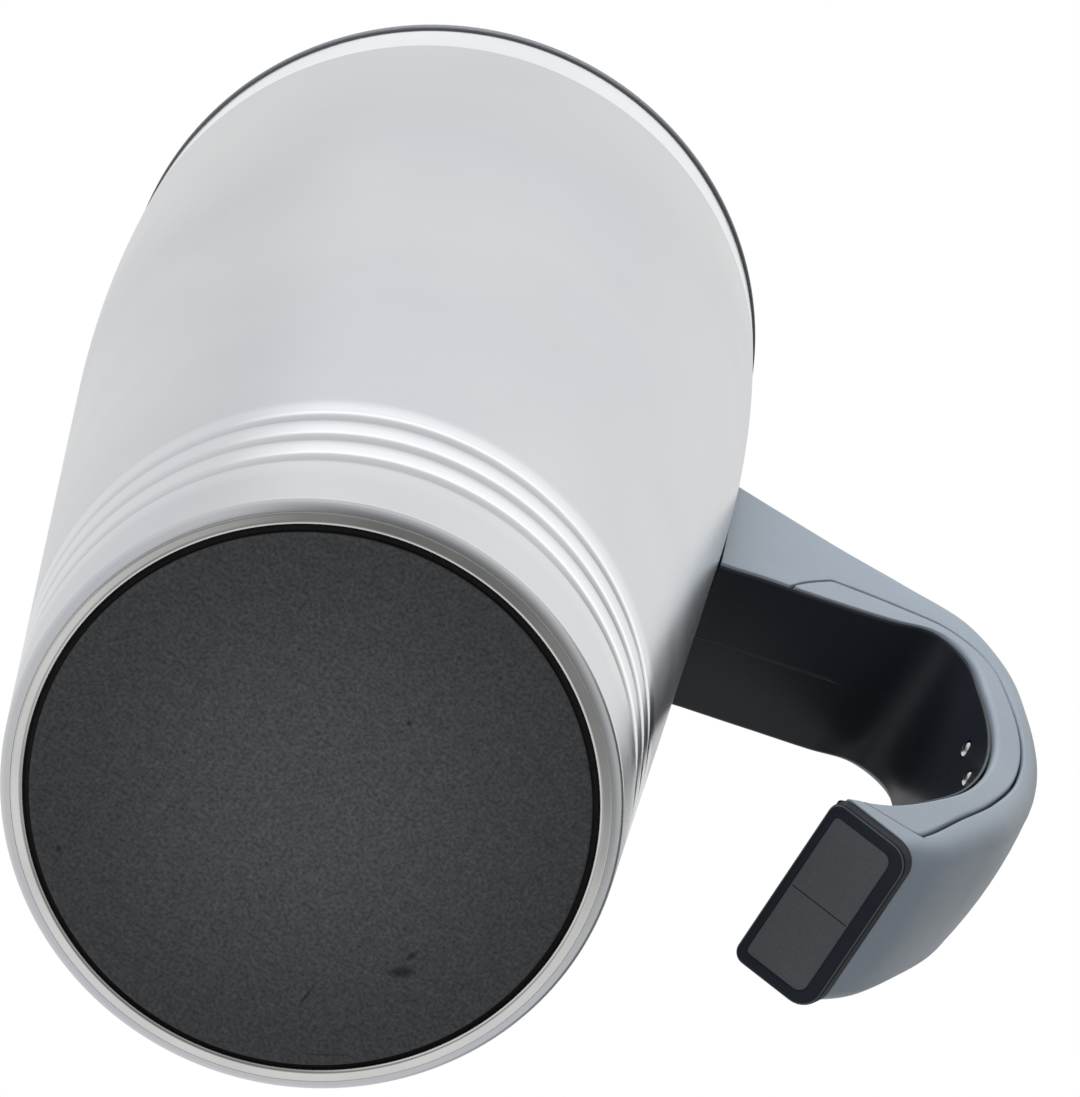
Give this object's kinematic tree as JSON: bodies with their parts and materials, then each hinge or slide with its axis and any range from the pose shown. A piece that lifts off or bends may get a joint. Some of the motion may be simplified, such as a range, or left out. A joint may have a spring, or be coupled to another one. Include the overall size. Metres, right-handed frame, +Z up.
{
  "type": "insulated mug",
  "caption": "Tapered double-wall steel travel mug with a ringed foot, an open hook handle and a press-in lid with a sliding drink closure.",
  "frame": {"origin": "centre of the flat face of the base pad that the mug stands on", "axes": "+Z up along the mug's axis, +X from the axis towards the handle, +Y completes a right-handed frame"},
  "size_m": [0.1244, 0.0798, 0.1805],
  "materials": {
    "satin_steel": "satin stainless steel",
    "polished_steel": "polished stainless steel",
    "liner_steel": "drawn stainless steel",
    "foam": "rigid insulating foam",
    "pad_rubber": "fine-grained matt black",
    "slate_plastic": "satin slate grey",
    "black_plastic": "satin black",
    "silicone": "grey silicone",
    "plated_screw": "bright plated"
  },
  "bodies": {
    "cup": {"outer_shell": "satin_steel", "rim_band": "polished_steel", "inner_liner": "liner_steel", "insulation_sleeve": "foam", "insulation_disc": "foam", "base_plate": "polished_steel", "base_pad": "pad_rubber", "handle_cover": "slate_plastic", "handle_frame": "slate_plastic", "handle_grip": "black_plastic", "handle_end_cap": "black_plastic", "cover_screw_1": "plated_screw", "cover_screw_2": "plated_screw", "cover_screw_3": "plated_screw", "cover_screw_4": "plated_screw", "mount_plate": "liner_steel", "mount_screw_1": "plated_screw", "mount_screw_2": "plated_screw"},
    "lid": {"lid_body": "slate_plastic", "lid_gasket": "silicone"},
    "slider": {"lid_slider": "black_plastic", "slider_retainer": "black_plastic"}
  },
  "joints": [
    {"name": "lid_lift", "type": "slide", "parent": "cup", "child": "lid", "axis": [0, 0, 1], "range_m": [0, 0.04]},
    {"name": "slider_slide", "type": "slide", "parent": "lid", "child": "slider", "axis": [1, 0, 0], "range_m": [0, 0.0135]}
  ]
}
